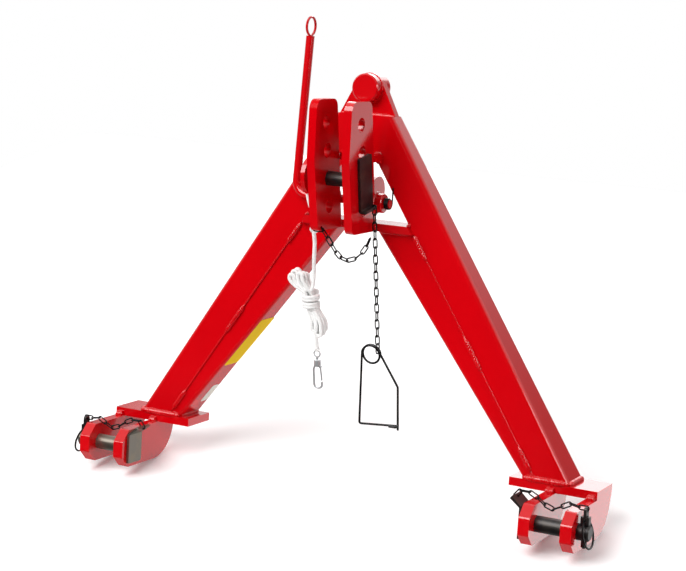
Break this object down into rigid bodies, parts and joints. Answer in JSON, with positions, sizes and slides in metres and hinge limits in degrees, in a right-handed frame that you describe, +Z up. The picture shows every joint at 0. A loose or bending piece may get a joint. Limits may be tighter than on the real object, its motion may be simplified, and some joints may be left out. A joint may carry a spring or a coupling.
{
  "type": "three point quick hitch",
  "caption": "A-frame quick hitch for a tractor's three point linkage, with a top link bracket, a sprung release lever on a rope, and clevis feet with link pins.",
  "frame": {"origin": "midway between the feet on the common axis of the lower link pins", "axes": "+X to the machine's right along the lower link pins, +Y back to the implement, +Z up"},
  "size_m": [1.0184, 0.3098, 0.8329],
  "materials": {
    "red_coat": "gloss powder coat",
    "black_coat": "black oxide, satin",
    "black_chain": "black, satin",
    "zinc_plate": "zinc plated",
    "white_rope": "braided cord"
  },
  "bodies": {
    "frame": {"cross_plate": "red_coat", "bracket_stay": "red_coat", "apex_plate": "red_coat", "front_guide_boss": "red_coat", "rear_guide_boss": "red_coat", "right_bracket_plate": "red_coat", "left_bracket_plate": "red_coat", "latch_return_spring": "black_chain", "frame_chain": "black_chain", "right_leg_channel": "red_coat", "right_leg_web": "red_coat", "right_foot_plate": "red_coat", "right_inner_ear": "red_coat", "right_outer_ear": "red_coat", "right_latch_bush": "red_coat", "left_leg_channel": "red_coat", "left_leg_web": "red_coat", "left_foot_plate": "red_coat", "left_inner_ear": "red_coat", "left_outer_ear": "red_coat", "left_latch_bush": "red_coat"},
    "latch": {"release_lever": "red_coat", "lever_ring": "red_coat", "latch_hook": "red_coat", "rope_eye_lug": "red_coat"},
    "rope": {"rope_line": "white_rope", "rope_knot": "white_rope", "rope_hank": "white_rope", "rope_tail": "white_rope", "tail_knot": "white_rope", "rope_swivel": "zinc_plate"},
    "snap_hook": {"snap_hook_body": "zinc_plate"},
    "snap_gate": {"snap_hook_gate": "zinc_plate"},
    "top_pin": {"top_link_pin": "black_coat", "pin_handle_plate": "black_coat"},
    "pin_chain": {"hanging_chain": "black_chain", "locking_clip": "black_chain"},
    "right_pin": {"right_lower_link_pin": "black_coat", "right_pin_head_plate": "black_coat", "right_linch_pin": "black_coat", "right_tether_chain": "black_chain"},
    "right_ring": {"right_linch_ring": "black_chain"},
    "left_pin": {"left_lower_link_pin": "black_coat", "left_pin_head_plate": "black_coat", "left_linch_pin": "black_coat", "left_tether_chain": "black_chain"},
    "left_ring": {"left_linch_ring": "black_chain"}
  },
  "joints": [
    {"name": "latch_turn", "type": "hinge", "parent": "frame", "child": "latch", "pos_m": [0, 0.17221, 0.4714], "axis": [1, 0, 0], "range_deg": [0, 10], "stiffness_Nm_per_rad": 2, "springref_deg": -28.65},
    {"name": "top_pin_slide", "type": "slide", "parent": "frame", "child": "top_pin", "axis": [1, 0, 0], "range_m": [0, 0.1]},
    {"name": "pin_chain_swing", "type": "hinge", "parent": "top_pin", "child": "pin_chain", "pos_m": [0.05, 0.137, 0.473], "axis": [1, 0, 0], "range_deg": [-25, 0]},
    {"name": "rope_swing", "type": "hinge", "parent": "latch", "child": "rope", "pos_m": [-0.0603, 0.12, 0.5142], "axis": [1, 0, 0], "range_deg": [-20, 0]},
    {"name": "snap_swivel", "type": "hinge", "parent": "rope", "child": "snap_hook", "pos_m": [-0.0605, 0.12, 0.175], "axis": [0, 0, 1], "continuous": true},
    {"name": "snap_gate_open", "type": "hinge", "parent": "snap_hook", "child": "snap_gate", "pos_m": [-0.05455, 0.12, 0.168], "axis": [0, 1, 0], "range_deg": [0, 22], "stiffness_Nm_per_rad": 0.02, "springref_deg": -22.92},
    {"name": "right_pin_play", "type": "slide", "parent": "frame", "child": "right_pin", "axis": [-1, 0, 0], "range_m": [0, 0.003]},
    {"name": "right_ring_flip", "type": "hinge", "parent": "right_pin", "child": "right_ring", "pos_m": [0.496, 0.00408, 0.0204], "axis": [0, -0.9806, 0.1959], "range_deg": [0, 150], "stiffness_Nm_per_rad": 0.05, "springref_deg": -28.65},
    {"name": "left_pin_play", "type": "slide", "parent": "frame", "child": "left_pin", "axis": [1, 0, 0], "range_m": [0, 0.003]},
    {"name": "left_ring_flip", "type": "hinge", "parent": "left_pin", "child": "left_ring", "pos_m": [-0.496, 0.00408, 0.0204], "axis": [0, 0.9806, -0.1959], "range_deg": [0, 150], "stiffness_Nm_per_rad": 0.05, "springref_deg": -28.65}
  ]
}
